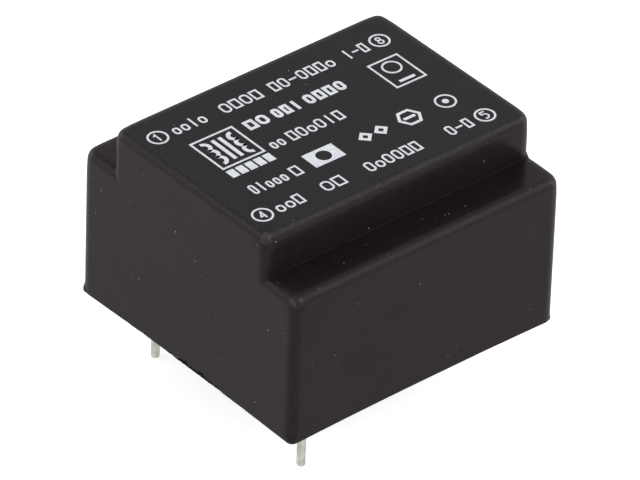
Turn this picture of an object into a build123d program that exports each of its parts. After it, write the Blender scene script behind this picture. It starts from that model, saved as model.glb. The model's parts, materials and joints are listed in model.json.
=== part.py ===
from build123d import *
import os
from math import acos, atan2, cos, sin, sqrt

# Encapsulated transformer for a circuit board. All sizes are in millimetres.
# The origin is the middle of the seating plane, where the case meets the board.
# X runs along the shoulders, Y across them and Z up to the printed face.

# Core: flat steel sheets with the coil round their middle leg
leg_width = 5.0
side_leg_width = 2.5
yoke_width = 2.5
sheet_thickness = 0.5
sheet_count = 11

# Coil former: a tube along X with an outer flange at each end and one between the coils
leg_clearance = 0.1
tube_wall = 0.6
tube_corner_radius = 0.4
flange_thickness = 0.6
flange_corner_radius = 0.6
primary_chamber = 5.55
secondary_chamber = 4.35

# Coils and their tape
winding_build = 2.7
winding_corner_radius = 1.2
tape_build = 0.15
tape_margin = 0.4
flange_side_margin = 0.85
flange_top_margin = 0.15
window_clearance = 0.6
former_end_clearance = 0.15

# Pins on a 5.08 grid, and the rails of the former that hold them
pin_pitch = 5.08
pins_per_rail = 4
rail_spacing_pitches = 3
pin_diameter = 0.6
pin_tip_radius = 0.1
pin_length = 5.4
pin_root_width = 0.54
pin_cover = 0.8
rail_overhang = 1.38
rail_end_margin = 1.4
rail_clearance = 0.2
notch_width = 0.8
notch_depth = 0.5

# Winding ends, wrapped on the pins just below the rails and dipped in solder
lead_diameter = 0.14
lead_bend_radius = 0.15
wrap_clearance = 0.08
wrap_build = 0.18
wrap_height = 0.5
wrap_gap = 0.05
solder_build = 0.16
solder_cover = 0.15

# Resin and case
resin_recess = 0.3
case_wall = 0.8
roof_thickness = 0.8
roof_clearance = 0.1
shoulder_clearance = 0.5
block_clearance = 0.15
side_clearance = 0.2
end_clearance = 1.7
cavity_edge_radius = 0.3
upright_edge_radius = 0.85
raised_edge_radius = 0.7
top_edge_radius = 0.6
nub_radius = 0.5
nub_height = 0.4
nub_edge_radius = 0.12
nub_projection = 0.12

# Print on the top face. Columns are measured in from the case's ends, rows from the block's sides
ink_thickness = 0.03
ink_line = 0.14
bold_line = 0.24
print_turn = -0.8
ring_radius = 0.68
ring_inset_left = 1.6
ring_inset_right = 2.55
numeral_height = 0.76
numeral_width = 0.38
numeral_line = 0.11
text_height = 1.05
low_glyph_height = 0.74
glyph_roundness = 0.45
glyph_gap = 0.17
row_1 = 2.8
row_2 = 5.3
row_3 = 7.9
row_4 = 4.55
row_5 = 2.0
emblem_size = 3.6
emblem_frame_line = 0.15
emblem_line = 0.28
emblem_inset = 4.5
emblem_row = 6.45
emblem_hump_radius = 0.42
caption_height = 0.85
caption_drop = 0.25
caption_blocks = 5
badge_width = 2.6
badge_height = 3.2
badge_inset = 3.9
badge_row = 6.25
mark_row = 4.8
mark_height = 1.6
slab_width = 2.5
slab_inset = 9.0
diamond_side = 0.82
diamond_inset = 13.2
hexagon_radius = 0.95
hexagon_inset = 16.3
target_radius = 0.7
target_inset = 19.4

# Heights and half widths that follow from the coil
stack_height = sheet_thickness * sheet_count
tube_half_depth = leg_width / 2 + leg_clearance + tube_wall
tube_half_height = stack_height / 2 + leg_clearance + tube_wall
winding_half_depth = tube_half_depth + winding_build
winding_half_height = tube_half_height + winding_build
flange_half_depth = winding_half_depth + tape_build + flange_side_margin
flange_half_height = winding_half_height + tape_build + flange_top_margin
former_length = 3 * flange_thickness + primary_chamber + secondary_chamber
former_underside = resin_recess + solder_cover + wrap_height + wrap_gap
axis_height = former_underside + flange_half_height
stack_bottom = axis_height - stack_height / 2

# The core's window takes the former
window_width = flange_half_depth + window_clearance - leg_width / 2
window_length = former_length + 2 * former_end_clearance
core_width = leg_width + 2 * window_width + 2 * side_leg_width
core_length = window_length + 2 * yoke_width

# Pin places, and the rails beyond the end flanges
row_offset = pin_pitch * rail_spacing_pitches / 2
pin_places = [(place - (pins_per_rail - 1) / 2) * pin_pitch for place in range(pins_per_rail)]
rail_reach = row_offset + rail_overhang
rail_half_length = pin_places[-1] + rail_end_margin
rail_top = stack_bottom - rail_clearance
pin_top = rail_top - pin_cover
wrap_radius = pin_root_width / sqrt(2) + wrap_clearance
wrap_bottom = former_underside - wrap_gap - wrap_height

# The case goes round everything
inner_half_length = max(core_length / 2, rail_reach) + end_clearance
inner_half_depth = max(core_width / 2, rail_half_length) + side_clearance
inner_block_half_depth = flange_half_depth + block_clearance
inner_shoulder = axis_height + stack_height / 2 + shoulder_clearance
inner_roof = axis_height + flange_half_height + roof_clearance
case_length = 2 * (inner_half_length + case_wall)
case_depth = 2 * (inner_half_depth + case_wall)
block_depth = 2 * (inner_block_half_depth + case_wall)
shoulder_height = inner_shoulder + roof_thickness
case_height = inner_roof + roof_thickness


def rounded_block(length, depth, bottom, top, radius):
    """Upright block on the Z axis with rounded upright edges."""
    outline = RectangleRounded(length, depth, radius)
    return Pos(0, 0, bottom) * extrude(outline, top - bottom)


def rounded_top_block(length, depth, bottom, top, upright_radius):
    """Upright block whose upright edges and top edges are both rounded."""
    block = rounded_block(length, depth, bottom, top, upright_radius)
    return fillet(block.faces().sort_by(Axis.Z)[-1].edges(), top_edge_radius)


def bar_along_x(half_depth, half_height, radius, start, end):
    """Bar along X on the coil's axis, from start to end, with rounded long edges."""
    outline = Plane.YZ * RectangleRounded(2 * half_depth, 2 * half_height, radius)
    return Pos(start, 0, axis_height) * extrude(outline, end - start)


def make_cavity():
    """Space inside the case, open at the seating plane."""
    body = rounded_block(
        2 * inner_half_length, 2 * inner_half_depth, 0, inner_shoulder, cavity_edge_radius)
    block = rounded_block(
        2 * inner_half_length, 2 * inner_block_half_depth, 0, inner_roof, cavity_edge_radius)
    return body + block


def make_nub():
    """Small rounded bulge low on one corner of the case, on the +X and +Y side."""
    shift = (nub_projection + upright_edge_radius - nub_radius) / sqrt(2)
    corner_x = case_length / 2 - upright_edge_radius + shift
    corner_y = case_depth / 2 - upright_edge_radius + shift
    nub = extrude(Circle(nub_radius), nub_height)
    nub = fillet(nub.edges().sort_by(Axis.Z)[-1], nub_edge_radius)
    return Pos(corner_x, corner_y, 0) * nub


def make_case():
    """Moulded cup: a wide body with a shoulder on each long side of the raised block."""
    body = rounded_top_block(case_length, case_depth, 0, shoulder_height, upright_edge_radius)
    block = rounded_top_block(
        case_length, block_depth, shoulder_height / 2, case_height, raised_edge_radius)
    outside = body + block
    nub = make_nub()
    outside += nub
    outside += mirror(nub, Plane.YZ)
    outside += mirror(nub, Plane.XZ)
    outside += mirror(mirror(nub, Plane.YZ), Plane.XZ)
    return outside - make_cavity()


def make_rail(side):
    """Rail below the core's yoke at one end of the former, with notches between its pins."""
    inner = former_length / 2 - flange_thickness
    length = rail_reach - inner
    height = rail_top - former_underside
    rail = Pos(side * (inner + length / 2), 0, former_underside + height / 2) * Box(
        length, 2 * rail_half_length, height)
    for first, second in zip(pin_places, pin_places[1:]):
        rail -= Pos(side * rail_reach, (first + second) / 2, former_underside + height / 2) * Box(
            2 * notch_depth, notch_width, height)
    return rail


def make_root(side, place, bottom):
    """Square upper part of a pin, from the given height to its end in the rail."""
    root = extrude(Rectangle(pin_root_width, pin_root_width), pin_top - bottom)
    return Pos(side * row_offset, place, bottom) * root


def make_former():
    """Moulded coil former: tube, three flanges and two pin rails in one piece."""
    half = former_length / 2
    middle = -half + flange_thickness + primary_chamber
    former = bar_along_x(tube_half_depth, tube_half_height, tube_corner_radius, -half, half)
    for start in (-half, middle, half - flange_thickness):
        former += bar_along_x(
            flange_half_depth, flange_half_height, flange_corner_radius,
            start, start + flange_thickness)
    for side in (-1, 1):
        former += make_rail(side)
    bore = Box(former_length, leg_width + 2 * leg_clearance, stack_height + 2 * leg_clearance)
    former -= Pos(0, 0, axis_height) * bore
    for side in (-1, 1):
        for place in pin_places:
            former -= make_root(side, place, former_underside)
    return former


def make_ring(inner_build, outer_build, inner_radius, outer_radius, start, end):
    """Layer round the tube, between two distances from it, from start to end along X."""
    outer = bar_along_x(
        tube_half_depth + outer_build, tube_half_height + outer_build, outer_radius, start, end)
    inner = bar_along_x(
        tube_half_depth + inner_build, tube_half_height + inner_build, inner_radius, start, end)
    return outer - inner


def make_winding(start, length):
    """Copper coil that fills one chamber of the former."""
    return make_ring(
        0, winding_build, tube_corner_radius, winding_corner_radius, start, start + length)


def make_tape(start, length):
    """Insulating tape round one coil, a little narrower than its chamber."""
    return make_ring(
        winding_build, winding_build + tape_build,
        winding_corner_radius, winding_corner_radius + tape_build,
        start + tape_margin, start + length - tape_margin)


def make_pin(side, place):
    """Pin with a round shank and tip, and a square root that is pressed into its rail."""
    shank = extrude(Circle(pin_diameter / 2), pin_length + resin_recess)
    shank = fillet(shank.edges().sort_by(Axis.Z)[0], pin_tip_radius)
    shank = Pos(side * row_offset, place, -pin_length) * shank
    return shank + make_root(side, place, resin_recess)


def make_lead(side, place):
    """Winding end: down past the flange, out below the rail and round the pin."""
    exit_x = side * (former_length / 2 - flange_thickness - tape_margin / 2)
    flat = winding_half_depth - winding_corner_radius - lead_diameter
    exit_y = max(-flat, min(flat, place))
    winding_underside = axis_height - winding_half_height
    run_height = former_underside - wrap_gap - lead_diameter
    pin_x = side * row_offset
    touch = wrap_radius + wrap_build / 2
    reach_x = exit_x - pin_x
    reach_y = exit_y - place
    turn = acos(touch / sqrt(reach_x ** 2 + reach_y ** 2))
    angle = atan2(reach_y, reach_x) + turn
    path = FilletPolyline(
        (exit_x, exit_y, winding_underside),
        (exit_x, exit_y, run_height),
        (pin_x + touch * cos(angle), place + touch * sin(angle), run_height),
        radius=lead_bend_radius)
    section = Plane(path @ 0, z_dir=path % 0) * Circle(lead_diameter / 2)
    wire = sweep(section, path=path)
    wrap = Circle(wrap_radius + wrap_build) - Circle(wrap_radius)
    return wire + Pos(pin_x, place, wrap_bottom) * extrude(wrap, wrap_height)


def make_solder(side, place, lead):
    """Bead of solder round a wrapped winding end, up to the rail."""
    bottom = wrap_bottom - solder_cover / 2
    bead = extrude(Circle(wrap_radius + wrap_build + solder_build), former_underside - bottom)
    bead = fillet(bead.edges().sort_by(Axis.Z)[0], solder_build)
    bead = Pos(side * row_offset, place, bottom) * bead
    return bead - make_root(side, place, resin_recess) - lead


def make_e_sheet(layer, side):
    """E-shaped steel sheet, whose yoke is at the given end."""
    sheet = Rectangle(core_length - yoke_width, core_width)
    sheet = Pos(side * yoke_width / 2, 0) * sheet
    for window_side in (-1, 1):
        window = Rectangle(window_length, window_width)
        sheet -= Pos(0, window_side * (leg_width + window_width) / 2) * window
    return Pos(0, 0, stack_bottom + layer * sheet_thickness) * extrude(sheet, sheet_thickness)


def make_i_sheet(layer, side):
    """I-shaped steel sheet that closes the E at the other end."""
    sheet = Pos(-side * (core_length - yoke_width) / 2, 0) * Rectangle(yoke_width, core_width)
    return Pos(0, 0, stack_bottom + layer * sheet_thickness) * extrude(sheet, sheet_thickness)


def ring_shape(x, y, radius, line):
    """Flat ring about a point, with its line centred on the radius."""
    return Pos(x, y) * (Circle(radius + line / 2) - Circle(radius - line / 2))


def frame_shape(x, y, width, height, line):
    """Flat rectangular outline inside the given width and height."""
    inner = Rectangle(width - 2 * line, height - 2 * line)
    return Pos(x, y) * (Rectangle(width, height) - inner)


def numeral_strokes(number):
    """Line strokes of a plain 1, 4, 5 or 8 about its own middle."""
    w = numeral_width / 2
    h = numeral_height / 2
    if number == 1:
        return [Polyline((-w, h / 2), (0, h), (0, -h))]
    if number == 4:
        stem = Line((w / 2, h), (w / 2, -h))
        return [Polyline((w / 2, h), (-w, -h / 3), (w, -h / 3)), stem]
    if number == 5:
        belly = ThreePointArc((-w, h / 4), (w, -h / 3), (-w, -h * 0.8))
        return [Polyline((w, h), (-w, h), (-w, h / 4)), belly]
    upper = CenterArc((0, h * 0.5), h * 0.42, 0, 360)
    lower = CenterArc((0, -h * 0.45), h * 0.5, 0, 360)
    return [upper, lower]


def numeral_shape(number, x, y):
    """Plain numeral inside a ring."""
    shape = ring_shape(x, y, ring_radius, ink_line)
    for stroke in numeral_strokes(number):
        shape += Pos(x, y) * trace(stroke, numeral_line)
    return shape


def glyph_shape(kind, x, y, width, line):
    """Simple figure in place of one printed letter: Box, Ring, low ring (o), Upright or Dash."""
    base = y - text_height / 2
    if kind == "B":
        return frame_shape(x, y, width, text_height, line)
    if kind == "U":
        return Pos(x, y) * Rectangle(line, text_height)
    if kind == "D":
        return Pos(x, y) * Rectangle(width, line)
    height = text_height if kind == "R" else low_glyph_height
    inner_width = width - 2 * line
    outer = RectangleRounded(width, height, width * glyph_roundness)
    inner = RectangleRounded(inner_width, height - 2 * line, inner_width * glyph_roundness)
    return Pos(x, base + height / 2) * (outer - inner)


def word_shapes(kinds, start, end, y, line):
    """Row of simple figures in place of a printed word."""
    width = (end - start - glyph_gap * (len(kinds) - 1)) / len(kinds)
    step = width + glyph_gap
    return [
        glyph_shape(kind, start + width / 2 + index * step, y, width, line)
        for index, kind in enumerate(kinds)
    ]


def make_emblem(x, y):
    """Square frame with a plain coil figure in it: two columns of humps either side of two bars."""
    shapes = [frame_shape(x, y, emblem_size, emblem_size, emblem_frame_line)]
    bar_height = 6 * emblem_hump_radius
    for side in (-1, 1):
        shapes.append(Pos(x + side * emblem_line, y) * Rectangle(emblem_line, bar_height))
        start_angle = -90 if side < 0 else 90
        for row in (-1, 0, 1):
            hump = trace(
                CenterArc((0, 0), emblem_hump_radius, start_angle, 180), emblem_line)
            hump_x = x + side * (3 * emblem_line + emblem_hump_radius)
            shapes.append(Pos(hump_x, y + row * 2 * emblem_hump_radius) * hump)
    return shapes


def make_caption(x, y):
    """Row of filled blocks below the emblem."""
    width = (emblem_size - (caption_blocks - 1) * glyph_gap) / caption_blocks
    start = x - emblem_size / 2 + width / 2
    return [
        Pos(start + index * (width + glyph_gap), y) * Rectangle(width, caption_height)
        for index in range(caption_blocks)
    ]


def make_badge(x, y):
    """Upright frame with a ring over a bar."""
    return [
        frame_shape(x, y, badge_width, badge_height, ink_line),
        ring_shape(x, y + badge_height / 6, badge_width / 4, ink_line),
        Pos(x, y - badge_height / 3) * Rectangle(badge_width / 2, bold_line),
    ]


def make_marks(left, y):
    """Row of plain figures: a block with a round hole, two diamonds, a hexagon and a dotted ring."""
    block = Rectangle(slab_width, mark_height) - Circle(mark_height / 2 - bold_line)
    diamond = frame_shape(0, 0, diamond_side, diamond_side, bold_line)
    diamond_step = diamond_side / sqrt(2) + glyph_gap / 2
    hexagon = RegularPolygon(hexagon_radius, 6) - RegularPolygon(hexagon_radius - bold_line, 6)
    return [
        Pos(left + slab_inset, y) * block,
        Pos(left + diamond_inset - diamond_step, y) * Rot(0, 0, 45) * diamond,
        Pos(left + diamond_inset + diamond_step, y) * Rot(0, 0, 45) * diamond,
        Pos(left + hexagon_inset, y) * hexagon,
        Pos(left + hexagon_inset, y) * Rectangle(hexagon_radius, bold_line),
        ring_shape(left + target_inset, y, target_radius, ink_line),
        Pos(left + target_inset, y) * Circle(bold_line),
    ]


def make_print():
    """White ink on the top face: ringed pin numbers, rows of boxes and plain figures."""
    left = -case_length / 2
    right = case_length / 2
    back = block_depth / 2
    front = -block_depth / 2
    shapes = [
        numeral_shape(1, left + ring_inset_left, back - row_1),
        numeral_shape(8, right - ring_inset_right, back - row_1),
        numeral_shape(4, left + ring_inset_left, front + row_5),
        numeral_shape(5, right - ring_inset_right, front + row_5),
    ]
    words = [
        ("ooUo", 2.8, 5.5, back - row_1, ink_line),
        ("RBRB", 6.9, 10.2, back - row_1, ink_line),
        ("BRDRBBo", 11.1, 16.4, back - row_1, ink_line),
        ("UDB", 17.4, 19.3, back - row_1, ink_line),
        ("BR", 7.0, 8.8, back - row_2, bold_line),
        ("RBU", 9.3, 11.5, back - row_2, bold_line),
        ("RBBR", 12.0, 15.3, back - row_2, bold_line),
        ("oo", 6.9, 8.0, back - row_3, ink_line),
        ("BRoRUB", 8.5, 13.0, back - row_3, ink_line),
        ("RUooo", 2.7, 5.6, front + row_4, ink_line),
        ("B", 6.1, 6.8, front + row_4, ink_line),
        ("ooB", 2.7, 4.9, front + row_5, ink_line),
        ("RB", 6.6, 8.4, front + row_5, ink_line),
        ("RoRRBB", 10.3, 14.8, front + row_5, ink_line),
        ("RDB", 17.2, 19.2, front + row_5, ink_line),
    ]
    for kinds, start, end, y, line in words:
        shapes += word_shapes(kinds, left + start, left + end, y, line)
    emblem_x = left + emblem_inset
    emblem_y = back - emblem_row
    caption_y = emblem_y - emblem_size / 2 - caption_drop - caption_height / 2
    shapes += make_emblem(emblem_x, emblem_y)
    shapes += make_caption(emblem_x, caption_y)
    shapes += make_badge(right - badge_inset, back - badge_row)
    shapes += make_marks(left, front + mark_row)
    film = [
        Pos(0, 0, case_height) * Rot(0, 0, print_turn) * extrude(shape, ink_thickness)
        for shape in shapes
    ]
    return Compound(children=[solid for piece in film for solid in piece.solids()])


def make_resin(held):
    """Cast resin: all that the cavity leaves free, up to its recess above the seating plane."""
    below = Box(case_length, case_depth, 2 * resin_recess)
    resin = make_cavity() - below
    for piece in held:
        resin -= piece
    return resin


def main():
    """Every piece of the transformer by its name."""
    primary_start = -former_length / 2 + flange_thickness
    secondary_start = primary_start + primary_chamber + flange_thickness
    parts = {
        "coil_former": make_former(),
        "primary_winding": make_winding(primary_start, primary_chamber),
        "secondary_winding": make_winding(secondary_start, secondary_chamber),
        "primary_tape": make_tape(primary_start, primary_chamber),
        "secondary_tape": make_tape(secondary_start, secondary_chamber),
    }
    fitted = [
        ("1", "primary", -1, pin_places[-1]),
        ("4", "primary", -1, pin_places[0]),
        ("6", "secondary", 1, pin_places[1]),
        ("7", "secondary", 1, pin_places[2]),
    ]
    for number, coil, side, place in fitted:
        lead = make_lead(side, place)
        parts[f"pin_{number}"] = make_pin(side, place)
        parts[f"{coil}_lead_{number}"] = lead
        parts[f"solder_{number}"] = make_solder(side, place, lead)
    for layer in range(sheet_count):
        side = -1 if layer % 2 == 0 else 1
        parts[f"e_lamination_{layer + 1:02d}"] = make_e_sheet(layer, side)
        parts[f"i_lamination_{layer + 1:02d}"] = make_i_sheet(layer, side)
    parts["potting_resin"] = make_resin(list(parts.values()))
    parts["case"] = make_case()
    parts["top_print"] = make_print()
    return parts


if __name__ == "__main__":
    os.makedirs("parts", exist_ok=True)
    for name, shape in main().items():
        export_step(shape, f"parts/{name}.step")
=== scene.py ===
import json
import math
import random

import bmesh
import bpy
import numpy as np
from mathutils import Matrix, Vector, noise


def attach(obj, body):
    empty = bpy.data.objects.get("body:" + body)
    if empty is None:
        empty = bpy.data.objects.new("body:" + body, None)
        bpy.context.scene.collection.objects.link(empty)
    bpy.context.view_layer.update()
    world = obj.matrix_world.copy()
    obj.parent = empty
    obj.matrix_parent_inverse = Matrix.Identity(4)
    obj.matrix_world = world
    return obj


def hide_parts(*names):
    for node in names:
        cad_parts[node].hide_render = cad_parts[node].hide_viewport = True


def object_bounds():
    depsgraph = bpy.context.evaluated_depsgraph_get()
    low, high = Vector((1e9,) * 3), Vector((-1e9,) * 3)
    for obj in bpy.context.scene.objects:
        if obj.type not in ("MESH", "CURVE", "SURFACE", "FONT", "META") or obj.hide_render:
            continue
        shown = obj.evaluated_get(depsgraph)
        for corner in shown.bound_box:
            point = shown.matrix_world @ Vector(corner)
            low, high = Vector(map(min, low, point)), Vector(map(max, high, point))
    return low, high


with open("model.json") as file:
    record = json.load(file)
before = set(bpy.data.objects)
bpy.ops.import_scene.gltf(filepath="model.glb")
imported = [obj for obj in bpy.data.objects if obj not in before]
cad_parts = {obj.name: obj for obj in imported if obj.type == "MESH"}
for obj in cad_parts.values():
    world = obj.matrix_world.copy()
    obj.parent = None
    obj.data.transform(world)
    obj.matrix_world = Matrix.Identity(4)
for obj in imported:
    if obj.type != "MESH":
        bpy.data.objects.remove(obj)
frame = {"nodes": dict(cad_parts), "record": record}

# A millimetre in metres, and a length in millimetres that is too small to matter
MM = 0.001
TINY = 1e-6

# Camera at the photograph's viewing angle, in metres and in pixels of a 640 x 480 image
CAMERA_PLACE = (-0.282247, -0.321325, 0.311563)
CAMERA_RIGHT = (0.76456, -0.64389, 0.02917)
CAMERA_DOWN = (-0.35716, -0.46089, -0.81242)
FOCAL_PIXELS = 7918.31
IMAGE_WIDTH = 640
SENSOR_WIDTH = 36.0
CLIP_START = 0.05
CLIP_END = 20.0

# Lamps: direction from the object, width in metres and radiance of each
LAMP_DISTANCE = 0.5
LAMPS = {
    "right_box": ((0.54, -0.56, 0.63), 0.48, 2.2),
    "left_box": ((-0.667, 0.611, 0.428), 0.42, 1.4),
}

# World: strength of its light on the object
AMBIENT = 0.48

# Floor: its size in metres, its mottle in millimetres and its tones
FLOOR_SIZE = 6.0
FLOOR_MOTTLE = 40.0
FLOOR_DARKEST = 0.88
FLOOR_PALEST = 0.90

# Floor: what makes it white to the camera and in reflections, and how much its paint dims there
FLOOR_GLOW = 0.72
FLOOR_SHEEN = 0.76
FLOOR_SHADE = 0.5

# Case: radii of its outer edges, in millimetres; a fullness of 2 would make them circular
BODY_RADIUS = 0.98
BLOCK_RADIUS = 0.81
SOFT_RADIUS = 1.00
FRONT_SHARE = 0.85
UPRIGHT_FULLNESS = 2.4
TOP_RADIUS = 0.74
TOP_FULLNESS = 2.6

# Case: how far its top corners are worn down, and the radius and bend that count as a full edge:
# roughest, rubbed palest and with the most painted highlight
CORNER_WEAR = 0.09
CORNER_REACH = 0.9
FULL_EDGE_RADIUS = 0.95
FULL_EDGE_BEND = 3

# Case: inner corner between the block and the shoulders, sharper towards its two ends
INNER_RADIUS = 0.012
INNER_END = 0.45

# Case: small bulge at each lower corner, lower and slimmer at the one on the +X and -Y side
NUB_CORNER = 0.85
NUB_PROJECTION = 0.12
NUB_RADIUS = 0.5
NUB_HEIGHT = 0.34
LOW_NUB_RADIUS = 0.43
LOW_NUB_HEIGHT = 0.18
NUB_EDGE = 0.12

# Case: thickness of its walls and its roof, in millimetres
WALL = 0.8
ROOF = 0.8

# Case: what moulding and handling did to its lower part, in millimetres
BOW_HEIGHT = 0.16
BOW_REACH = 2.2
WAVE_HEIGHT = 0.035
WAVE_LENGTH = 4.5
WAVE_REACH = 5.0
WAVE_FLATTENING = 0.6
WAVE_SHIFT = (3.1, 7.7, 1.9)
NICK_DEPTH = 0.07
NICK_LENGTH = 0.8
NICK_REACH = 0.3
CHIP_PLACE = -1.1
CHIP_HALF_LENGTH = 3.1
CHIP_FULLNESS = 4
CHIP_DEPTH = 0.07
CHIP_LENGTH = 0.27
CHIP_REACH = 0.6
CHIP_SHIFT = 4.4
FLASH_HEIGHT = 0.08
FLASH_REACH = 0.7
SIDE_FLASH_HEIGHT = 0.035
SIDE_FLASH_START = 2.0

# Case: steps of the grid that it is made of, in millimetres, and how far the fine ones reach
FINE_STEP = 0.085
CHIP_STEP = 0.1
COARSE_STEP = 0.21
CORNER_STEP = 0.0048
EDGE_MARGIN = 0.05
CORNER_SPAN = 4 * INNER_RADIUS
NUB_SPAN = 1.4 * NUB_HEIGHT

# Resin: the skin that it set with, in millimetres
SKIN_DEPTH = 0.06
SKIN_STEP = 0.12
SKIN_OVERLAP = 0.05
WALL_CLIMB = 0.15
WALL_REACH = 0.35
PIN_CLIMB = 0.16
PIN_REACH = 0.22
RIPPLE_HEIGHT = 0.012
RIPPLE_LENGTH = 3.0
BUBBLE_COUNT = 34
BUBBLE_SMALL = 0.10
BUBBLE_LARGE = 0.30
BUBBLE_SKEW = 1.5
BUBBLE_SEED = 11

# Case material: colours of the compound on the sides and on the top face, of what lies on it, and
# of the light, highlights and shade painted on it
WARM_DARK = (0.0102, 0.0068, 0.0068, 1)
WARM_PALE = (0.0126, 0.0086, 0.0085, 1)
PLAIN_DARK = (0.0072, 0.0068, 0.0076, 1)
PLAIN_PALE = (0.0095, 0.0090, 0.0100, 1)
WARM_SHINE = (1.0, 0.82, 0.85, 1)
# Paler colour painted on the block's long walls as light
WALL_LIGHT_COLOUR = (0.0190, 0.0165, 0.0175, 1)
# Paler colour of rubbed edges, which also paints on a highlight
RUBBED_AND_HIGHLIGHT_COLOUR = (0.055, 0.050, 0.047, 1)
# Highlight painted on the worn corners
PAINTED_GLINT_COLOUR = (0.088, 0.078, 0.075, 1)
DUST_COLOUR = (0.42, 0.42, 0.40, 1)
# Near black painted as the shade in the chips of the lower -X edge
CHIP_SHADE_COLOUR = (0.003, 0.003, 0.003, 1)
CRUMB_COLOUR = (0.55, 0.55, 0.52, 1)

# Case material: lengths over which its looks change with height, in millimetres
FACE_FADE = 0.4
WALL_LIGHT_RISE = 0.2
WALL_LIGHT_FADE_START = 2.0
WALL_LIGHT_FADE_END = 0.5
RUB_AND_HIGHLIGHT_RISE = 0.3
PAINTED_GLINT_LOW = 2.0
PAINTED_GLINT_HIGH = 3.0

# Case material: spacing and size of its specks, in millimetres, and the share that is there
LOOSE_DUST = (0.9, 0.11, 0.22)
SETTLED_DUST = (0.8, 0.09, 0.40)
LINT = (0.55, 0.06, 0.07)
CRUMBS = (0.22, 0.11, 0.55)

# Winding wires, in millimetres; a wave texture of scale 1 runs through 20 radians in one unit
PRIMARY_WIRE = 0.05
SECONDARY_WIRE = 0.14
WAVE_RADIANS = 20


def extent(points, axis, keep):
    """Largest coordinate along one axis among the points that the mask keeps."""
    return float(points[keep][:, axis].max())


def case_sizes():
    """Half length, half depth, the block's half depth, the shoulder's height and the top, in mm."""
    mesh = frame["nodes"]["case"].data
    points = np.array([v.co for v in mesh.vertices]) / MM
    above_nubs = points[:, 2] > 2 * NUB_HEIGHT
    half_length = extent(points, 0, above_nubs)
    half_depth = extent(points, 1, above_nubs)
    top = extent(points, 2, above_nubs)
    outer = points[:, 1] > half_depth - 2 * TOP_RADIUS
    shoulder = extent(points, 2, outer)
    raised = points[:, 2] > shoulder + INNER_RADIUS
    block_half_depth = extent(points, 1, raised)
    return half_length, half_depth, block_half_depth, shoulder, top


HALF_LENGTH, HALF_DEPTH, BLOCK_HALF_DEPTH, SHOULDER, TOP = case_sizes()
INNER_HALF_LENGTH = HALF_LENGTH - WALL
INNER_HALF_DEPTH = HALF_DEPTH - WALL


def rounded(a, b, radius, fullness):
    """Distance to a soft corner between two faces at distances a and b."""
    a = a + radius
    b = b + radius
    outside = np.maximum(a, 0) ** fullness + np.maximum(b, 0) ** fullness
    return outside ** (1 / fullness) + np.minimum(np.maximum(a, b), 0) - radius


def blended(a, b, width):
    """Smaller of two distances, with a rounded inner corner of the given width."""
    share = np.clip(0.5 + 0.5 * (b - a) / np.maximum(width, TINY), 0, 1)
    return b + (a - b) * share - width * share * (1 - share)


def at_right_front(p):
    """Whether each point is on the +X and -Y side."""
    return (p[:, 0] > 0) & (p[:, 1] < 0)


def at_left_front(p):
    """Whether each point is on the -X and -Y side."""
    return (p[:, 0] < 0) & (p[:, 1] < 0)


def block_distance(p, half_depth, top, upright_radius):
    """Distance to an upright block with soft upright edges and top edges, and worn top corners."""
    a = np.abs(p[:, 0]) - HALF_LENGTH
    b = np.abs(p[:, 1]) - half_depth
    c = p[:, 2] - top
    worn = CORNER_WEAR * np.exp(-(a ** 2 + b ** 2 + c ** 2) / CORNER_REACH ** 2)
    upright_radius = upright_radius * np.where(at_left_front(p), FRONT_SHARE, 1.0)
    side = rounded(a, b, upright_radius, UPRIGHT_FULLNESS)
    return rounded(side, c, TOP_RADIUS, TOP_FULLNESS) + worn


def nub_distance(p):
    """Distance to the small bulge at each lower corner."""
    shift = (NUB_PROJECTION + NUB_CORNER - NUB_RADIUS) / math.sqrt(2)
    x = np.abs(p[:, 0]) - (HALF_LENGTH - NUB_CORNER + shift)
    y = np.abs(p[:, 1]) - (HALF_DEPTH - NUB_CORNER + shift)
    height = np.where(at_right_front(p), LOW_NUB_HEIGHT, NUB_HEIGHT)
    radius = np.where(at_right_front(p), LOW_NUB_RADIUS, NUB_RADIUS)
    return rounded(np.hypot(x, y) - radius, p[:, 2] - height, NUB_EDGE, 2)


def case_distance(p):
    """Distance to the outside of the whole case."""
    body = block_distance(p, HALF_DEPTH, SHOULDER, BODY_RADIUS)
    block_radius = np.where(at_right_front(p), SOFT_RADIUS, BLOCK_RADIUS)
    block = block_distance(p, BLOCK_HALF_DEPTH, TOP, block_radius)
    inset = HALF_LENGTH - INNER_END - np.abs(p[:, 0])
    width = 2 * INNER_RADIUS * np.clip(inset / INNER_END, 0, 1)
    return np.minimum(blended(body, block, width), nub_distance(p))


def on_case(points, rounds=8, step=1e-4, least_slope=0.5):
    """Points moved along the distance's slope until they lie on the case's outside."""
    p = points.copy()
    for _ in range(rounds):
        value = case_distance(p)
        slope = np.empty_like(p)
        for axis, shift in enumerate(step * np.eye(3)):
            slope[:, axis] = (case_distance(p + shift) - case_distance(p - shift)) / (2 * step)
        size = np.maximum((slope ** 2).sum(axis=1), least_slope ** 2)
        p -= slope * (value / size)[:, None]
    return p


def bend(points, step=0.02):
    """How sharply the case's outside turns outwards at each point: 0 flat, 1 on a corner."""
    shifts = step * np.eye(3)
    total = -2 * len(shifts) * case_distance(points)
    for shift in shifts:
        total += case_distance(points + shift) + case_distance(points - shift)
    return np.clip(total / step ** 2 * FULL_EDGE_RADIUS, 0, FULL_EDGE_BEND) / FULL_EDGE_BEND


def graded(stretches):
    """Rising coordinates: each stretch runs from its start to its end in steps of about its own."""
    values = [stretches[0][0]]
    for start, end, step in stretches:
        count = max(1, round((end - start) / step))
        values += [start + (end - start) * k / count for k in range(1, count + 1)]
    return values


def mirrored(values):
    """Coordinates on both sides of zero, from the ones at or above it."""
    return [-v for v in reversed(values) if v > 0] + list(values)


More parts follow.
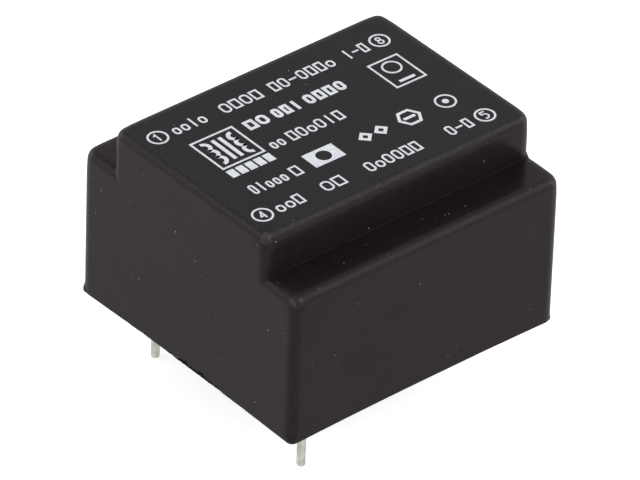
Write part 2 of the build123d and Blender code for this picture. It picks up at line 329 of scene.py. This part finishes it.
def around(last_x, last_y):
    """Places of a grid's outermost points, in order."""
    places = [(i, 0) for i in range(last_x)]
    places += [(last_x, j) for j in range(last_y)]
    places += [(i, last_y) for i in range(last_x, 0, -1)]
    places += [(0, j) for j in range(last_y, 0, -1)]
    return places


def case_grid():
    """Coordinates of the grid lines, close together where an edge is rounded."""
    edge = SOFT_RADIUS + EDGE_MARGIN
    near = TOP_RADIUS + EDGE_MARGIN
    chipped = CHIP_HALF_LENGTH + abs(CHIP_PLACE)
    xs = mirrored(graded([
        (0, HALF_LENGTH - edge, COARSE_STEP),
        (HALF_LENGTH - edge, HALF_LENGTH, FINE_STEP)]))
    ys = mirrored(graded([
        (0, chipped, CHIP_STEP),
        (chipped, BLOCK_HALF_DEPTH - edge, COARSE_STEP),
        (BLOCK_HALF_DEPTH - edge, BLOCK_HALF_DEPTH, FINE_STEP),
        (BLOCK_HALF_DEPTH, BLOCK_HALF_DEPTH + CORNER_SPAN, CORNER_STEP),
        (BLOCK_HALF_DEPTH + CORNER_SPAN, HALF_DEPTH - edge, COARSE_STEP),
        (HALF_DEPTH - edge, HALF_DEPTH, FINE_STEP)]))
    zs = graded([
        (0, NUB_SPAN, FINE_STEP / 2),
        (NUB_SPAN, SHOULDER - near, COARSE_STEP),
        (SHOULDER - near, SHOULDER, FINE_STEP),
        (SHOULDER, SHOULDER + CORNER_SPAN, CORNER_STEP),
        (SHOULDER + CORNER_SPAN, TOP - near, COARSE_STEP),
        (TOP - near, TOP, FINE_STEP)])
    return xs, ys, zs


def layer_ends(ys, zs):
    """For each layer of the grid, the first and last line along Y that the case reaches."""
    ends = []
    for low, high in zip(zs, zs[1:]):
        depth = HALF_DEPTH if (low + high) / 2 < SHOULDER else BLOCK_HALF_DEPTH
        first = next(j for j, y in enumerate(ys) if y >= -depth - TINY)
        ends.append((first, len(ys) - 1 - first))
    return ends


def outer_quads(last_x, ends):
    """Quads of the case's outside, each as four places in the grid."""
    for k, (first, last) in enumerate(ends):
        for i in range(last_x):
            yield (i, first, k), (i + 1, first, k), (i + 1, first, k + 1), (i, first, k + 1)
            yield (i, last, k), (i, last, k + 1), (i + 1, last, k + 1), (i + 1, last, k)
        for j in range(first, last):
            yield (0, j, k), (0, j, k + 1), (0, j + 1, k + 1), (0, j + 1, k)
            yield (last_x, j, k), (last_x, j + 1, k), (last_x, j + 1, k + 1), (last_x, j, k + 1)
        above = ends[k + 1] if k + 1 < len(ends) else (last, last)
        for j in [*range(first, above[0]), *range(above[1], last)]:
            for i in range(last_x):
                yield (i, j, k + 1), (i + 1, j, k + 1), (i + 1, j + 1, k + 1), (i, j + 1, k + 1)


def outer_skin(mesh):
    """Adds the case's outside, open below, and returns its lower rim and the rim's square form."""
    xs, ys, zs = case_grid()
    numbers = {}
    quads = []
    for quad in outer_quads(len(xs) - 1, layer_ends(ys, zs)):
        quads.append([numbers.setdefault(place, len(numbers)) for place in quad])
    square = np.array([(xs[i], ys[j], zs[k]) for i, j, k in numbers])
    soft = on_case(square)
    soft[square[:, 2] < TINY, 2] = 0
    # The bend of each point sets the roughness and rubbing of the edges and where highlights are
    # painted
    wear = mesh.verts.layers.float["edge_bend"]
    made = [mesh.verts.new(p) for p in soft]
    for vert, value in zip(made, bend(soft)):
        vert[wear] = value
    for quad in quads:
        mesh.faces.new([made[q] for q in quad])
    rim = [numbers[i, j, 0] for i, j in around(len(xs) - 1, len(ys) - 1)]
    return [made[r] for r in rim], square[rim]


def inner_skin(mesh, rim, square_rim):
    """Adds the rim below the walls, the inside of the walls and the inside of the roof."""
    block_depth = BLOCK_HALF_DEPTH - WALL
    levels = [
        (INNER_HALF_DEPTH, 0),
        (INNER_HALF_DEPTH, SHOULDER - ROOF),
        (block_depth, SHOULDER - ROOF),
        (block_depth, TOP - ROOF),
    ]
    ring = rim
    for depth, level in levels:
        made = []
        for x, y, _ in square_rim:
            made.append(mesh.verts.new(
                (x * INNER_HALF_LENGTH / HALF_LENGTH, y * depth / HALF_DEPTH, level)))
        for k in range(len(ring)):
            n = (k + 1) % len(ring)
            mesh.faces.new([ring[k], made[k], made[n], ring[n]])
        ring = made
    mesh.faces.new(ring)


def edge_share(x, y):
    """0 at a corner of the case and 1 in the middle of a side."""
    return 1 - min(abs(x) / HALF_LENGTH, abs(y) / HALF_DEPTH, 1.0) ** 2


def chip_share(y):
    """1 in the middle of the chipped stretch of the -X edge, falling to 0 at its ends."""
    return max(0.0, 1 - (abs(y - CHIP_PLACE) / CHIP_HALF_LENGTH) ** CHIP_FULLNESS)


def flash_share(inset, z):
    """1 at the outer edge of the rim, falling to 0 further in and further up."""
    return max(0.0, 1 - inset / FLASH_REACH) * max(0.0, 1 - z / FLASH_REACH)


def wall_wave(x, y, z):
    """How far the walls sink in, in waves that fade upwards and towards the corners."""
    fade = (1 - z / WAVE_REACH) ** 2
    place = Vector((x, y, z * WAVE_FLATTENING)) / WAVE_LENGTH + Vector(WAVE_SHIFT)
    return WAVE_HEIGHT * fade * noise.noise(place) * edge_share(x, y)


def nick_depth(x, y):
    """Depth of the nicks along the lower -X edge, and of the chips in its chipped stretch."""
    rough = noise.noise(Vector((0, y, 0)) / NICK_LENGTH)
    chip = noise.noise(Vector((CHIP_SHIFT, y, 0)) / CHIP_LENGTH)
    depth = NICK_DEPTH * max(0.0, rough) * edge_share(x, y)
    return depth + CHIP_DEPTH * max(0.0, chip) * chip_share(y)


def weather(mesh):
    """Waves, bows, nicks and chips the case's lower part, and leaves flash on two sides."""
    chipped = mesh.verts.layers.float["chipped"]
    for vert in mesh.verts:
        x, y, z = vert.co
        if z > WAVE_REACH:
            continue
        push = wall_wave(x, y, z)
        if abs(x) > HALF_LENGTH - WALL / 2:
            vert.co.x -= math.copysign(push, x)
        if abs(y) > HALF_DEPTH - WALL / 2:
            vert.co.y -= math.copysign(push, y)
        if z < BOW_REACH:
            vert.co.z += BOW_HEIGHT * edge_share(x, y) * (1 - z / BOW_REACH) ** 2
        on_left = x < -HALF_LENGTH + WALL
        if on_left and z < NICK_REACH:
            vert.co.z += nick_depth(x, y) * (1 - z / NICK_REACH)
        vert.co.z -= FLASH_HEIGHT * flash_share(y + HALF_DEPTH, z)
        side_end = min(max(SIDE_FLASH_START - y, 0.0), 1.0)
        vert.co.z -= SIDE_FLASH_HEIGHT * flash_share(x + HALF_LENGTH, z) * side_end
        if on_left and z < CHIP_REACH:
            vert[chipped] = chip_share(y) * (1 - z / CHIP_REACH)


def placed(name, data):
    """New object with that data, in the scene."""
    made = bpy.data.objects.new(name, data)
    bpy.context.scene.collection.objects.link(made)
    return made


def finished(mesh, name, crease=32.0):
    """Turns a bmesh in millimetres into an object, smooth except at its creases."""
    bmesh.ops.recalc_face_normals(mesh, faces=mesh.faces)
    for face in mesh.faces:
        face.smooth = True
    for edge in mesh.edges:
        if len(edge.link_faces) == 2:
            edge.smooth = edge.calc_face_angle() < math.radians(crease)
    bmesh.ops.scale(mesh, vec=(MM, MM, MM), verts=mesh.verts)
    data = bpy.data.meshes.new(name)
    mesh.to_mesh(data)
    mesh.free()
    return placed(name, data)


def make_case():
    """Moulded case as a closed cup of quads, in place of the plain solid."""
    mesh = bmesh.new()
    for layer in ("edge_bend", "chipped"):
        mesh.verts.layers.float.new(layer)
    rim, square_rim = outer_skin(mesh)
    inner_skin(mesh, rim, square_rim)
    weather(mesh)
    piece = finished(mesh, "case_moulding")
    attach(piece, "root")
    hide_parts("case")
    return piece


def pin_places():
    """Centre and radius of each pin, in millimetres, from the record's mounts."""
    pins = [m for m in frame["record"]["mounts"] if m["kind"] == "pin"]
    return [(m["pos_m"][0] / MM, m["pos_m"][1] / MM, m["dims"]["r_mm"]) for m in pins]


def bubble_places():
    """Centre and radius of each burst bubble, in millimetres."""
    chance = random.Random(BUBBLE_SEED)
    places = []
    for _ in range(BUBBLE_COUNT):
        x = chance.uniform(-INNER_HALF_LENGTH, INNER_HALF_LENGTH)
        y = chance.uniform(-INNER_HALF_DEPTH, INNER_HALF_DEPTH)
        places.append((x, y, chance.uniform(BUBBLE_SMALL, BUBBLE_LARGE) ** BUBBLE_SKEW))
    return places


def resin_height(x, y, level, pins, bubbles):
    """Height of the resin's skin: it climbs the walls and pins and is pitted by bubbles."""
    to_wall = max(0.0, min(INNER_HALF_LENGTH - abs(x), INNER_HALF_DEPTH - abs(y)))
    climb = WALL_CLIMB * math.exp(-to_wall / WALL_REACH)
    for pin_x, pin_y, radius in pins:
        to_pin = max(0.0, math.hypot(x - pin_x, y - pin_y) - radius)
        climb = max(climb, PIN_CLIMB * math.exp(-to_pin / PIN_REACH))
    ripple = RIPPLE_HEIGHT * noise.noise(Vector((x, y, 0)) / RIPPLE_LENGTH)
    pit = 0.0
    for bubble_x, bubble_y, radius in bubbles:
        inside = 1 - ((x - bubble_x) ** 2 + (y - bubble_y) ** 2) / radius ** 2
        pit = max(pit, (SKIN_DEPTH - RIPPLE_HEIGHT) * math.sqrt(max(0.0, inside)))
    return level - SKIN_DEPTH - climb + ripple + pit


def make_resin_skin():
    """Thin closed sheet over the flat underside of the resin, which carries its true surface."""
    level = min(v.co.z for v in frame["nodes"]["potting_resin"].data.vertices) / MM
    pins = pin_places()
    bubbles = bubble_places()
    xs = mirrored(graded([(0, INNER_HALF_LENGTH + SKIN_OVERLAP, SKIN_STEP)]))
    ys = mirrored(graded([(0, INNER_HALF_DEPTH + SKIN_OVERLAP, SKIN_STEP)]))
    mesh = bmesh.new()
    seen = {}
    for i, x in enumerate(xs):
        for j, y in enumerate(ys):
            seen[i, j] = mesh.verts.new((x, y, resin_height(x, y, level, pins, bubbles)))
    for i in range(len(xs) - 1):
        for j in range(len(ys) - 1):
            mesh.faces.new([seen[i, j], seen[i, j + 1], seen[i + 1, j + 1], seen[i + 1, j]])
    rim = around(len(xs) - 1, len(ys) - 1)
    back = {(i, j): mesh.verts.new((xs[i], ys[j], level + SKIN_OVERLAP)) for i, j in rim}
    for here, there in zip(rim, rim[1:] + rim[:1]):
        mesh.faces.new([seen[here], seen[there], back[there], back[here]])
    mesh.faces.new([back[place] for place in rim])
    piece = finished(mesh, "resin_skin")
    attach(piece, "root")
    return piece


class Shader:
    """A material's nodes: each call adds one and links what it is given."""

    def __init__(self, name):
        self.material = bpy.data.materials.new(name)
        self.material.use_nodes = True
        self.tree = self.material.node_tree
        self.bsdf = self.tree.nodes["Principled BSDF"]
        self.place = self.add("ShaderNodeTexCoord").outputs["Object"]

    def feed(self, socket, value):
        """Links another node's output to the socket, or sets the socket's own value."""
        if isinstance(value, bpy.types.NodeSocket):
            self.tree.links.new(value, socket)
        else:
            socket.default_value = value

    def add(self, kind, inputs=None, **settings):
        """New node of that kind."""
        made = self.tree.nodes.new(kind)
        for key, value in settings.items():
            setattr(made, key, value)
        for key, value in (inputs or {}).items():
            self.feed(made.inputs[key], value)
        return made

    def math(self, operation, a, b=0.0, c=0.0):
        """One sum on up to three values."""
        made = self.add("ShaderNodeMath", {0: a, 1: b, 2: c}, operation=operation)
        return made.outputs[0]

    def product(self, value, *others):
        """All the values multiplied."""
        for other in others:
            value = self.math("MULTIPLY", value, other)
        return value

    def scaled(self, x, y, z):
        """Place on the object with each axis scaled, which stretches a pattern."""
        made = self.add("ShaderNodeMapping", {"Vector": self.place, "Scale": (x, y, z)})
        return made.outputs["Vector"]

    def noise(self, size_mm, detail=2.0, rough=0.5, vector=None):
        """Noise with clouds of about that size, from 0 to 1."""
        made = self.add("ShaderNodeTexNoise", {
            "Vector": vector or self.place, "Scale": 1 / (size_mm * MM),
            "Detail": detail, "Roughness": rough})
        return made.outputs["Fac"]

    def between(self, value, low, high, out_low=0.0, out_high=1.0):
        """Value spread from low and high to the two outputs, and held to them beyond."""
        made = self.add("ShaderNodeMapRange", {
            "Value": value, "From Min": low, "From Max": high,
            "To Min": out_low, "To Max": out_high})
        return made.outputs["Result"]

    def patches(self, size_mm, low, high, out_low=0.0, out_high=1.0, detail=3.0, rough=0.5):
        """Noise of that size, spread from low and high to the two outputs."""
        return self.between(self.noise(size_mm, detail, rough), low, high, out_low, out_high)

    def mix(self, share, a, b):
        """Colour a, with that share of colour b."""
        made = self.add("ShaderNodeMix", data_type="RGBA")
        self.feed(made.inputs["Factor"], share)
        self.feed(made.inputs["A"], a)
        self.feed(made.inputs["B"], b)
        return made.outputs["Result"]

    def attribute(self, name):
        """Value that the mesh carries under that name."""
        return self.add("ShaderNodeAttribute", attribute_name=name).outputs["Fac"]

    def bump(self, height, depth_mm, strength=1.0, normal=None):
        """Normal of a surface raised by the height, on top of another bump if one is given."""
        inputs = {"Height": height, "Distance": depth_mm * MM, "Strength": strength}
        if normal is not None:
            inputs["Normal"] = normal
        return self.add("ShaderNodeBump", inputs).outputs["Normal"]

    def specks(self, spacing_mm, size_mm, share):
        """1 inside small round specks, in that share of the cells of a loose grid."""
        cells = self.add("ShaderNodeTexVoronoi", {
            "Vector": self.place, "Scale": 1 / (spacing_mm * MM)})
        near = self.math("LESS_THAN", cells.outputs["Distance"], size_mm / (2 * spacing_mm))
        pick = self.add("ShaderNodeSeparateColor", {"Color": cells.outputs["Color"]})
        kept = self.math("LESS_THAN", pick.outputs["Red"], share)
        return self.product(near, kept)

    def set(self, **inputs):
        """Feeds inputs of the surface itself, with _ for a space in their names."""
        for key, value in inputs.items():
            self.feed(self.bsdf.inputs[key.replace("_", " ")], value)


def grey(value):
    """Colour with that value in all its channels."""
    return (value, value, value, 1.0)


def compound(s, face):
    """Colour of the moulding compound: warm on the sides, plain on the top face."""
    warm = s.mix(s.patches(3.0, 0.3, 0.7), WARM_DARK, WARM_PALE)
    plain = s.mix(s.patches(2.0, 0.3, 0.7), PLAIN_DARK, PLAIN_PALE)
    return s.mix(face, warm, plain)


def painted_wall_light_share(s, height, front):
    """Where light is painted on as paler colour: on the block's two long walls, less of it towards
    the top.
    """
    rise = s.between(height, SHOULDER * MM, (SHOULDER + WALL_LIGHT_RISE) * MM)
    fade = s.between(
        height, (TOP - WALL_LIGHT_FADE_START) * MM, (TOP - WALL_LIGHT_FADE_END) * MM, 1.0, 0.2)
    cloud = s.patches(4.0, 0.25, 0.70, 0.20, 0.55, detail=4.0, rough=0.6)
    flat = s.between(s.math("ABSOLUTE", front), 0.80, 0.95)
    return s.product(rise, fade, cloud, flat)


def rubbed_and_highlight_share(s, height, upward, edge):
    """Where edges are rubbed paler, which also paints on a highlight: more where they face up, and
    more on the block than below it.
    """
    most = s.between(height, SHOULDER * MM, (SHOULDER + RUB_AND_HIGHLIGHT_RISE) * MM, 0.60, 1.05)
    reached = s.between(upward, 0.15, 0.65, 0.72, most)
    grain = s.patches(0.22, 0.40, 0.72, 0.21, 0.90, rough=0.7)
    return s.product(edge, reached, grain)


def painted_glint_share(s, height, edge):
    """Where a highlight is painted on the corners: in soft patches, well above the lower rim."""
    corner = s.between(edge, 0.58, 0.90)
    patch = s.patches(0.32, 0.35, 0.66, rough=0.6)
    above = s.between(height, PAINTED_GLINT_LOW * MM, PAINTED_GLINT_HIGH * MM)
    return s.product(corner, patch, above)


def dust_share(s, upward, face):
    """Where dust lies: a little everywhere, with lint, and more of it settled on the shoulders."""
    loose = s.product(s.specks(*LOOSE_DUST), s.patches(0.3, 0.38, 0.66, detail=2.0))
    lint = s.product(s.specks(*LINT), 0.4)
    shelf = s.between(s.math("SUBTRACT", upward, face), 0.6, 0.9, 0.0, 0.5)
    settled = s.product(s.specks(*SETTLED_DUST), shelf)
    return s.math("MAXIMUM", s.math("MAXIMUM", loose, settled), lint)


def painted_chip_shade_share(s, chipped):
    """Where the chips are painted near black as their shade, in patches along the chipped stretch.
    """
    limit = s.patches(0.4, 0.35, 0.65, 0.18, 0.85, rough=0.6)
    return s.between(s.math("SUBTRACT", chipped, limit), 0.0, 0.12)


def crumb_share(s, chipped):
    """Where pale crumbs show, along the chipped stretch."""
    return s.product(s.specks(*CRUMBS), s.between(chipped, 0.05, 0.35))


def moulded_case():
    """Charcoal moulding compound: near black, satin, with rubbed edges and a little dust, and with
    light painted on the block's long walls, highlights painted on the edges and corners and shade
    painted in the chips.
    """
    s = Shader("moulded_case")
    height = s.add("ShaderNodeSeparateXYZ", {"Vector": s.place}).outputs["Z"]
    facing = s.add("ShaderNodeNewGeometry").outputs["Normal"]
    normal = s.add("ShaderNodeSeparateXYZ", {"Vector": facing}).outputs
    face = s.between(height, (TOP - FACE_FADE) * MM, TOP * MM)
    edge = s.attribute("edge_bend")
    chipped = s.attribute("chipped")
    chip_shade = painted_chip_shade_share(s, chipped)
    # Layers over the compound: light painted on the long walls, rubbing with a painted highlight on
    # the edges, a painted highlight on the corners, dust, shade painted in the chips, and crumbs
    layers = [
        (painted_wall_light_share(s, height, normal["Y"]), WALL_LIGHT_COLOUR),
        (rubbed_and_highlight_share(s, height, normal["Z"], edge), RUBBED_AND_HIGHLIGHT_COLOUR),
        (painted_glint_share(s, height, edge), PAINTED_GLINT_COLOUR),
        (dust_share(s, normal["Z"], face), DUST_COLOUR),
        (chip_shade, CHIP_SHADE_COLOUR),
        (crumb_share(s, chipped), CRUMB_COLOUR),
    ]
    colour = compound(s, face)
    for share, tint in layers:
        colour = s.mix(share, colour, tint)
    polish = s.patches(0.9, 0.3, 0.7, 0.22, 0.29)
    s.set(Base_Color=colour, Roughness=s.math("MULTIPLY_ADD", edge, 0.24, polish))
    fine = s.bump(s.noise(0.12, 3.0, 0.6), 0.003)
    s.set(Normal=s.bump(s.noise(1.6), 0.012, normal=fine))
    # Sides shine a little more than the top face; the shade painted in the chips barely shines
    shine = s.between(face, 0.0, 1.0, 0.135, 0.125)
    s.set(Specular_IOR_Level=s.product(shine, s.between(chip_shade, 0.0, 1.0, 1.0, 0.15)))
    s.set(Specular_Tint=s.mix(face, WARM_SHINE, grey(1.0)))
    return s.material


def printed_ink():
    """White printing ink, slightly uneven."""
    s = Shader("printed_ink")
    wear = s.patches(0.25, 0.35, 0.75)
    s.set(Base_Color=s.mix(wear, (0.86, 0.88, 0.94, 1), (0.68, 0.70, 0.76, 1)))
    s.set(Roughness=s.between(wear, 0, 1, 0.55, 0.7))
    s.set(Normal=s.bump(s.noise(0.12), 0.006))
    return s.material


def tinned_wire():
    """Dull tin plating with fine marks along the pin."""
    s = Shader("tinned_wire")
    streak = s.noise(0.09, vector=s.scaled(1, 1, 0.06))
    tone = s.between(s.math("ADD", streak, s.noise(0.6)), 0.75, 1.25)
    s.set(Base_Color=s.mix(tone, (0.42, 0.43, 0.41, 1), (0.68, 0.68, 0.56, 1)))
    s.set(Metallic=0.85, Roughness=s.between(streak, 0.3, 0.7, 0.30, 0.48))
    s.set(Normal=s.bump(streak, 0.010))
    return s.material


def cast_resin():
    """Dark casting resin with a dull skin."""
    s = Shader("cast_resin")
    cloud = s.patches(2.5, 0.3, 0.7, detail=4.0)
    s.set(Base_Color=s.mix(cloud, (0.014, 0.013, 0.013, 1), (0.030, 0.028, 0.027, 1)))
    s.set(Roughness=s.between(cloud, 0, 1, 0.28, 0.42))
    s.set(Normal=s.bump(s.noise(1.2, 3.0), 0.03))
    return s.material


def former_plastic():
    """Natural glass-filled moulding with short pale fibres."""
    s = Shader("former_plastic")
    fibre = s.between(s.noise(0.12, vector=s.scaled(0.25, 1, 1)), 0.45, 0.7)
    s.set(Base_Color=s.mix(fibre, (0.62, 0.58, 0.48, 1), (0.76, 0.73, 0.64, 1)))
    s.set(Roughness=0.5, Normal=s.bump(fibre, 0.006))
    return s.material


def wound_copper(name, wire_mm):
    """Enamelled wire round the X axis, in bands of about six turns."""
    s = Shader(name)
    bands = s.add("ShaderNodeTexWave", {
        "Vector": s.place, "Scale": 1 / (wire_mm * MM * WAVE_RADIANS), "Distortion": 0.6,
        "Detail": 2.0}, wave_type="BANDS", bands_direction="X").outputs["Fac"]
    shade = s.patches(1.5, 0.3, 0.7, detail=2.0)
    s.set(Base_Color=s.mix(shade, (0.56, 0.19, 0.07, 1), (0.74, 0.30, 0.12, 1)))
    s.set(Metallic=0.9, Roughness=s.between(bands, 0, 1, 0.42, 0.26))
    s.set(Normal=s.bump(bands, wire_mm / 3))
    return s.material


def film_tape():
    """Yellow polyester film with faint lengthwise tension lines."""
    s = Shader("film_tape")
    pull = s.noise(0.5, vector=s.scaled(1, 0.1, 0.1))
    tone = s.between(pull, 0.3, 0.7)
    s.set(Base_Color=s.mix(tone, (0.74, 0.46, 0.05, 1), (0.84, 0.58, 0.10, 1)))
    s.set(Roughness=0.25, Normal=s.bump(pull, 0.01))
    return s.material


def dipped_solder():
    """Solder that set with a slightly frosted skin."""
    s = Shader("dipped_solder")
    frost = s.patches(0.1, 0.4, 0.7)
    s.set(Base_Color=s.mix(frost, (0.70, 0.70, 0.68, 1), (0.56, 0.56, 0.55, 1)))
    s.set(Metallic=1.0, Roughness=s.between(frost, 0, 1, 0.2, 0.4))
    s.set(Normal=s.bump(frost, 0.008))
    return s.material


def core_sheet():
    """Silicon steel with a dull blue-grey oxide and a rolling grain."""
    s = Shader("core_sheet")
    grain = s.noise(0.2, 3.0, vector=s.scaled(0.1, 1, 1))
    tone = s.between(s.math("ADD", grain, s.noise(2.5, 3.0)), 0.7, 1.3)
    s.set(Base_Color=s.mix(tone, (0.20, 0.20, 0.22, 1), (0.38, 0.37, 0.36, 1)))
    s.set(Metallic=0.9, Roughness=s.between(grain, 0.3, 0.7, 0.35, 0.5))
    s.set(Normal=s.bump(grain, 0.004))
    return s.material


def dress(piece, material):
    """Gives a piece one material."""
    piece.data.materials.clear()
    piece.data.materials.append(material)


def dress_nodes():
    """Gives each node of the frame its material, by its slot in the record."""
    made = {
        "ink": printed_ink(),
        "tinned_pin": tinned_wire(),
        "resin": cast_resin(),
        "former": former_plastic(),
        "tape": film_tape(),
        "solder": dipped_solder(),
        "core_steel": core_sheet(),
        "case": moulded_case(),
    }
    primary = wound_copper("primary_wire", PRIMARY_WIRE)
    secondary = wound_copper("secondary_wire", SECONDARY_WIRE)
    for row in frame["record"]["subparts"]:
        name = row["node"]
        slot = row["material_slot"]
        if slot == "copper":
            material = primary if name.startswith("primary") else secondary
        else:
            material = made[slot]
        dress(frame["nodes"][name], material)
    return made


def make_camera():
    """Camera where the photograph was taken from."""
    data = bpy.data.cameras.new("camera")
    data.sensor_width = SENSOR_WIDTH
    data.lens = FOCAL_PIXELS * SENSOR_WIDTH / IMAGE_WIDTH
    data.clip_start = CLIP_START
    data.clip_end = CLIP_END
    right = Vector(CAMERA_RIGHT).normalized()
    back = right.cross(-Vector(CAMERA_DOWN)).normalized()
    up = back.cross(right)
    turn = Matrix((right, up, back)).transposed().to_4x4()
    camera = placed("camera", data)
    camera.matrix_world = Matrix.Translation(CAMERA_PLACE) @ turn
    bpy.context.scene.camera = camera


def larger(tree, a, b):
    """The larger of two values."""
    made = tree.nodes.new("ShaderNodeMath")
    made.operation = "MAXIMUM"
    tree.links.new(a, made.inputs[0])
    tree.links.new(b, made.inputs[1])
    return made.outputs[0]


def mirror_share(tree):
    """1 for rays that left a glossy or clear surface."""
    path = tree.nodes.new("ShaderNodeLightPath").outputs
    return larger(tree, path["Is Glossy Ray"], path["Is Transmission Ray"])


def camera_share(tree):
    """1 for rays from the camera."""
    return tree.nodes.new("ShaderNodeLightPath").outputs["Is Camera Ray"]


def make_world():
    """Even pale light, seen as white by the camera and in reflections."""
    world = bpy.data.worlds.new("studio")
    bpy.context.scene.world = world
    world.use_nodes = True
    tree = world.node_tree
    plain = tree.nodes["Background"]
    plain.inputs["Color"].default_value = grey(1.0)
    plain.inputs["Strength"].default_value = AMBIENT
    white = tree.nodes.new("ShaderNodeBackground")
    white.inputs["Color"].default_value = grey(1.0)
    mixed = tree.nodes.new("ShaderNodeMixShader")
    seen = larger(tree, mirror_share(tree), camera_share(tree))
    tree.links.new(seen, mixed.inputs["Fac"])
    tree.links.new(plain.outputs[0], mixed.inputs[1])
    tree.links.new(white.outputs[0], mixed.inputs[2])
    tree.links.new(mixed.outputs[0], tree.nodes["World Output"].inputs["Surface"])


def floor_paint():
    """Pale paint that glows to white for the camera and in reflections."""
    s = Shader("floor_paint")
    tone = s.patches(FLOOR_MOTTLE, 0.0, 1.0, FLOOR_DARKEST, FLOOR_PALEST, detail=2.0)
    mirror = mirror_share(s.tree)
    shade = s.between(mirror, 0.0, 1.0, 1.0, FLOOR_SHADE)
    s.set(Base_Color=s.product(tone, shade))
    s.set(Roughness=0.9, Specular_IOR_Level=0.0, Emission_Color=grey(1.0))
    sheen = s.product(mirror, FLOOR_SHEEN)
    s.set(Emission_Strength=s.math("MULTIPLY_ADD", camera_share(s.tree), FLOOR_GLOW, sheen))
    return s.material


def make_floor():
    """Plain white floor under the pins, which keeps the object's shadow."""
    low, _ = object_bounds()
    half = FLOOR_SIZE / 2
    signs = ((-1, -1), (1, -1), (1, 1), (-1, 1))
    data = bpy.data.meshes.new("floor")
    data.from_pydata([(x * half, y * half, low[2]) for x, y in signs], [], [(0, 1, 2, 3)])
    floor = placed("floor", data)
    dress(floor, floor_paint())


def make_lamp(name, direction, size, radiance):
    """Square soft box in that direction from the object."""
    data = bpy.data.lights.new(name, "AREA")
    data.shape = "SQUARE"
    data.size = size
    data.energy = radiance * size * size * math.pi
    lamp = placed(name, data)
    away = Vector(direction).normalized()
    lamp.location = away * LAMP_DISTANCE + Vector((0, 0, TOP * MM / 2))
    lamp.rotation_euler = away.to_track_quat("Z", "Y").to_euler()
    lamp.visible_camera = False


def main():
    """Dresses the frame, adds the scene's own pieces, and sets camera, floor and light."""
    made = dress_nodes()
    dress(make_case(), made["case"])
    dress(make_resin_skin(), made["resin"])
    make_camera()
    make_world()
    make_floor()
    for name, (direction, size, radiance) in LAMPS.items():
        make_lamp(name, direction, size, radiance)
    bpy.context.scene.view_settings.view_transform = "Standard"


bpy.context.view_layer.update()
main()
